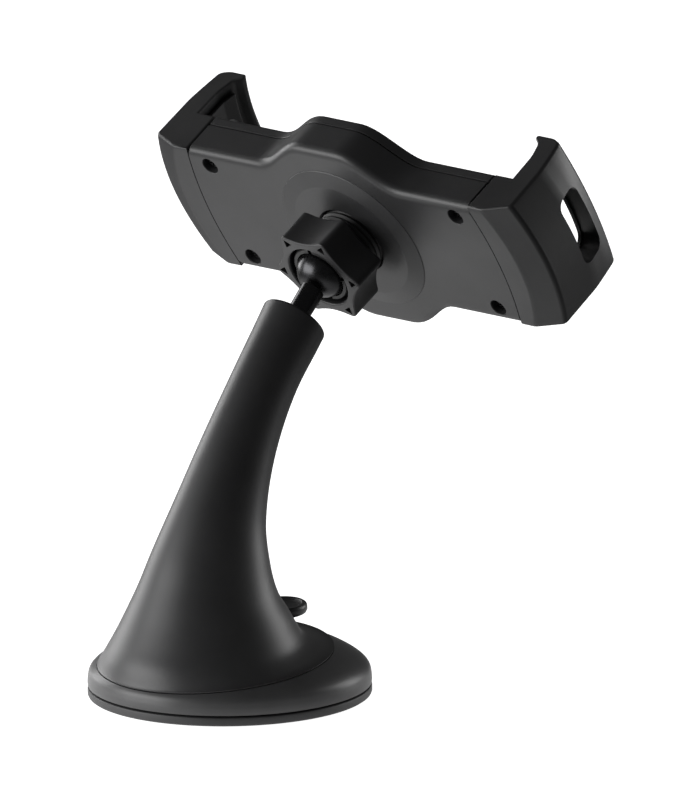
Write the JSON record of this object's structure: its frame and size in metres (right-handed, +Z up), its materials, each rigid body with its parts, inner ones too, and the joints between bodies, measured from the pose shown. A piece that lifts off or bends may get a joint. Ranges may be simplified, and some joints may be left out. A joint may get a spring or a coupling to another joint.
{
  "type": "phone mount",
  "caption": "Dashboard phone mount: suction base, horn-shaped stem, ball joint with a clamp nut, and a cradle with two hooked sliding jaws.",
  "frame": {"origin": "middle of the suction face, on the surface the mount stands on", "axes": "+Z up off the suction face, -Y towards the user, the jaws slide along X"},
  "size_m": [0.1348, 0.1239, 0.1466],
  "materials": {
    "black_plastic": "fine moulded satin texture, charcoal black",
    "satin_plastic": "smooth satin black",
    "rubber": "soft matte dark grey",
    "steel": "plain bright zinc",
    "black_steel": "blackened, lightly oiled",
    "nylon": "natural nylon"
  },
  "bodies": {
    "root": {"suction_pad": "rubber", "base_ring": "satin_plastic", "cam_plate": "steel", "release_spring": "steel", "base_screw_1": "steel", "base_screw_2": "steel", "base_screw_3": "steel", "stem": "black_plastic"},
    "plunger": {"plunger": "steel", "lever_pin": "steel"},
    "lever": {"lever": "satin_plastic"},
    "ball_stud": {"ball_stud": "black_steel", "stud_clip": "steel"},
    "seat": {"seat_cup": "nylon"},
    "cradle": {"collet_socket": "black_plastic", "socket_screw_1": "steel", "socket_screw_2": "steel", "socket_screw_3": "steel", "socket_screw_4": "steel", "rear_shell": "black_plastic", "front_shell": "black_plastic", "front_pad": "rubber", "shell_screw_1": "black_steel", "shell_screw_2": "black_steel", "shell_screw_3": "black_steel", "shell_screw_4": "black_steel", "pinion_pin": "steel", "left_spring": "steel", "right_spring": "steel"},
    "nut": {"clamp_nut": "black_plastic"},
    "pinion": {"pinion": "nylon"},
    "left_jaw": {"left_jaw": "black_plastic", "left_jaw_pad": "rubber", "left_rack": "nylon", "left_rack_screw_1": "steel", "left_rack_screw_2": "steel"},
    "right_jaw": {"right_jaw": "black_plastic", "right_jaw_pad": "rubber", "right_rack": "nylon", "right_rack_screw_1": "steel", "right_rack_screw_2": "steel"}
  },
  "joints": [
    {"name": "plunger_slide", "type": "slide", "parent": "root", "child": "plunger", "axis": [0, 0, -1], "range_m": [0, 0.0011]},
    {"name": "lever_hinge", "type": "hinge", "parent": "plunger", "child": "lever", "pos_m": [0, 0, 0.0178], "axis": [-1, 0, 0], "range_deg": [0, 40]},
    {"name": "ball_swivel", "type": "hinge", "parent": "root", "child": "ball_stud", "pos_m": [0, -0.03892, 0.10752], "axis": [0, -0.7278, 0.6858], "range_deg": [-180, 180]},
    {"name": "ball_tilt", "type": "hinge", "parent": "ball_stud", "child": "seat", "pos_m": [0, -0.03892, 0.10752], "axis": [1, 0, 0], "range_deg": [-53, 27]},
    {"name": "cradle_roll", "type": "hinge", "parent": "seat", "child": "cradle", "pos_m": [0, -0.03892, 0.10752], "axis": [0, -0.8637, 0.5039], "continuous": true},
    {"name": "nut_turn", "type": "hinge", "parent": "cradle", "child": "nut", "pos_m": [0, -0.04091, 0.10868], "axis": [0, -0.8637, 0.5039], "range_deg": [0, 180]},
    {"name": "left_jaw_slide", "type": "slide", "parent": "cradle", "child": "left_jaw", "axis": [1, 0, 0], "range_m": [0, 0.025], "stiffness_N_per_m": 60, "springref_m": -0.02, "deforming": ["left_spring"]},
    {"name": "right_jaw_slide", "type": "slide", "parent": "cradle", "child": "right_jaw", "axis": [-1, 0, 0], "range_m": [0, 0.025], "deforming": ["right_spring"]},
    {"name": "pinion_turn", "type": "hinge", "parent": "cradle", "child": "pinion", "pos_m": [0, -0.05559, 0.11725], "axis": [0, -0.8637, 0.5039], "range_deg": [-240, 0]}
  ],
  "couplings": [
    {"joint": "plunger_slide", "follows": "lever_hinge", "m_per_rad": 0.001432},
    {"joint": "right_jaw_slide", "follows": "left_jaw_slide", "ratio": 1},
    {"joint": "pinion_turn", "follows": "left_jaw_slide", "rad_per_m": -166.67}
  ]
}
